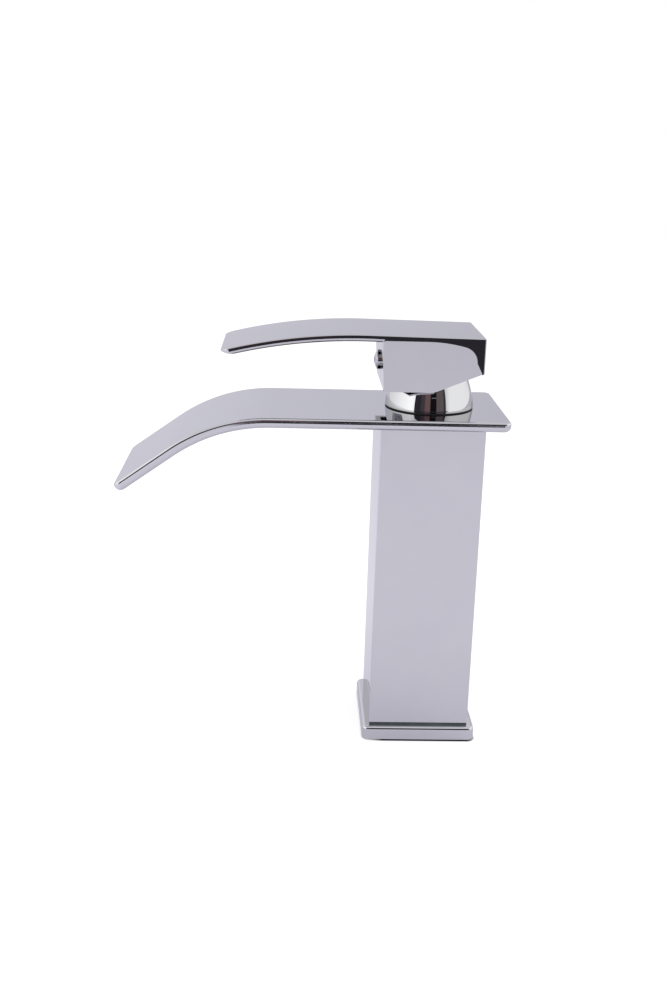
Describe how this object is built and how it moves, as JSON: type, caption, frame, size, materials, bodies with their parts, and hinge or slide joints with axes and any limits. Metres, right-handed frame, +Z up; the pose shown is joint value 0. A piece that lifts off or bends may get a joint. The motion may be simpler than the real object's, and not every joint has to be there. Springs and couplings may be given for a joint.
{
  "type": "basin faucet",
  "caption": "Tall single-lever waterfall tap for a wash basin: square column and foot, wide thin spout plate that curves down, bell cap and flat paddle lever.",
  "frame": {"origin": "centre of the foot's flat underside, where the tap stands on the basin or deck", "axes": "+Z up, the spout points to -Y, +X is the right-hand, cold side of someone who stands in front of the spout"},
  "size_m": [0.0618, 0.1623, 0.1807],
  "materials": {
    "chrome_outside": "polished chrome plate on brass",
    "chrome_lever": "polished chrome plate on cast zinc",
    "brass": "machined",
    "steel": "satin",
    "rubber": "matte",
    "plastic": "matte",
    "slider_plastic": "satin",
    "disc_ceramic": "lapped",
    "blue": "gloss",
    "red": "gloss"
  },
  "bodies": {
    "tap_body": {"base_plate": "chrome_outside", "base_gasket": "rubber", "foot_plate": "brass", "tie_screws": "steel", "column_shell": "chrome_outside", "valve_body": "brass", "neck_seal_lower": "rubber", "spout_tray": "chrome_outside", "spout_cover": "chrome_outside", "neck_seal_upper": "rubber", "spout_nut": "brass", "cap_gasket": "rubber", "bell_cap": "chrome_outside", "cartridge_base": "plastic", "inlet_seals": "rubber", "disc_seals": "rubber", "fixed_disc": "disc_ceramic", "cartridge_housing": "plastic", "housing_oring": "rubber", "cartridge_nut": "brass"},
    "turret": {"stem_carrier": "plastic", "pivot_pin": "steel"},
    "lever": {"lever_handle": "chrome_lever", "stem": "brass", "set_screw": "steel", "index_button": "chrome_lever", "cold_mark": "blue", "hot_mark": "red"},
    "mixing_slider": {"drive_plate": "slider_plastic", "moving_disc": "disc_ceramic"}
  },
  "joints": [
    {"name": "temperature_turn", "type": "hinge", "parent": "tap_body", "child": "turret", "pos_m": [0, 0, 0.15018], "axis": [0, 0, 1], "range_deg": [-45, 45]},
    {"name": "lever_lift", "type": "hinge", "parent": "turret", "child": "lever", "pos_m": [0, 0, 0.15018], "axis": [-1, 0, 0], "range_deg": [0, 22]},
    {"name": "disc_slide", "type": "slide", "parent": "turret", "child": "mixing_slider", "axis": [0, 1, 0], "range_m": [-0.003, 0]}
  ],
  "couplings": [
    {"joint": "disc_slide", "follows": "lever_lift", "m_per_rad": -0.0078049}
  ]
}
